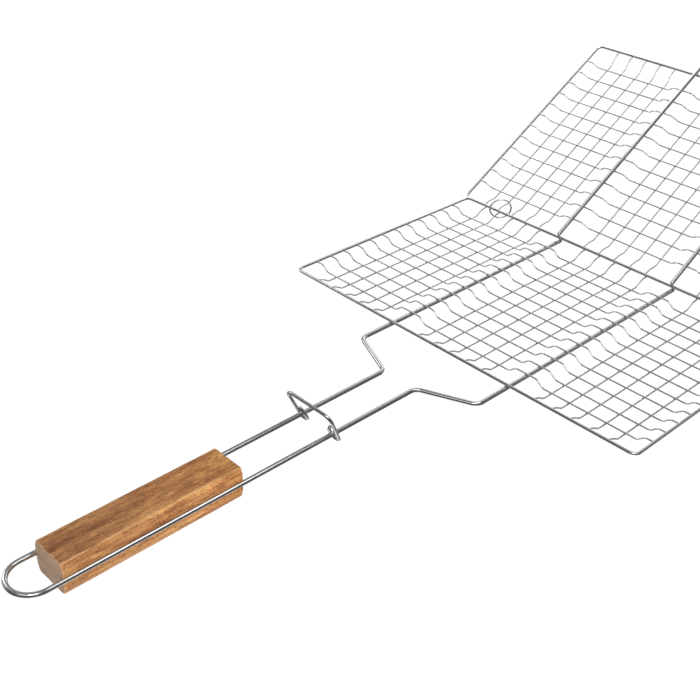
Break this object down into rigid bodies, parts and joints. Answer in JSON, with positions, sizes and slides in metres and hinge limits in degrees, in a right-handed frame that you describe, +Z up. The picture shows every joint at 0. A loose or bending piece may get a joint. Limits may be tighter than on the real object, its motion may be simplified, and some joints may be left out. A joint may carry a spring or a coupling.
{
  "type": "grill basket",
  "caption": "Hinged two-sided wire grill basket on a long wire handle with a wooden grip, a hanging loop and a sliding bail latch.",
  "frame": {"origin": "centre of the wooden grip's flat underside, the face the handle end stands on", "axes": "+Z up, +Y along the handle from the grip towards the basket and its hinge, +X to the right seen from the grip"},
  "size_m": [0.3484, 0.8782, 0.1842],
  "materials": {
    "mesh_wire": "bright plated round wire",
    "rim_wire": "bright plated round wire",
    "handle_rod": "bright plated round rod",
    "latch_wire": "bright plated round wire",
    "ring_wire": "bright plated round wire",
    "grip_wood": "oiled red-brown hardwood, satin"
  },
  "bodies": {
    "base": {"handle_wire": "handle_rod", "base_frame": "rim_wire", "base_cross_wire_01": "mesh_wire", "base_cross_wire_02": "mesh_wire", "base_cross_wire_03": "mesh_wire", "base_cross_wire_04": "mesh_wire", "base_cross_wire_05": "mesh_wire", "base_cross_wire_06": "mesh_wire", "base_cross_wire_07": "mesh_wire", "base_cross_wire_08": "mesh_wire", "base_cross_wire_09": "mesh_wire", "base_cross_wire_10": "mesh_wire", "base_cross_wire_11": "mesh_wire", "base_cross_wire_12": "mesh_wire", "base_long_wires_left": "mesh_wire", "base_long_wires_middle": "mesh_wire", "base_long_wires_right": "mesh_wire", "wood_grip": "grip_wood"},
    "lid": {"lid_frame": "rim_wire", "lid_tongue_wire": "handle_rod", "lid_cross_wire_01": "mesh_wire", "lid_cross_wire_02": "mesh_wire", "lid_cross_wire_03": "mesh_wire", "lid_cross_wire_04": "mesh_wire", "lid_cross_wire_05": "mesh_wire", "lid_cross_wire_06": "mesh_wire", "lid_cross_wire_07": "mesh_wire", "lid_cross_wire_08": "mesh_wire", "lid_cross_wire_09": "mesh_wire", "lid_cross_wire_10": "mesh_wire", "lid_cross_wire_11": "mesh_wire", "lid_cross_wire_12": "mesh_wire", "lid_long_wires_left": "mesh_wire", "lid_long_wires_middle": "mesh_wire", "lid_long_wires_right": "mesh_wire"},
    "latch": {"latch_bail": "latch_wire"},
    "ring_left": {"hinge_ring_left": "ring_wire"},
    "ring_right": {"hinge_ring_right": "ring_wire"}
  },
  "joints": [
    {"name": "lid_hinge", "type": "hinge", "parent": "base", "child": "lid", "pos_m": [0, 0.50054, 0.02093], "axis": [1, 0, 0], "range_deg": [0, 150.3]},
    {"name": "latch_slide", "type": "slide", "parent": "base", "child": "latch", "axis": [0, 1, 0], "range_m": [-0.0745, 0.072]},
    {"name": "ring_left_swing", "type": "hinge", "parent": "base", "child": "ring_left", "pos_m": [0, 0.5033, 0.0193], "axis": [1, 0, 0], "range_deg": [0, 83]},
    {"name": "ring_right_swing", "type": "hinge", "parent": "base", "child": "ring_right", "pos_m": [0, 0.5033, 0.0193], "axis": [1, 0, 0], "range_deg": [0, 83]}
  ],
  "couplings": [
    {"joint": "ring_left_swing", "follows": "lid_hinge", "ratio": 0.55},
    {"joint": "ring_right_swing", "follows": "lid_hinge", "ratio": 0.55}
  ]
}
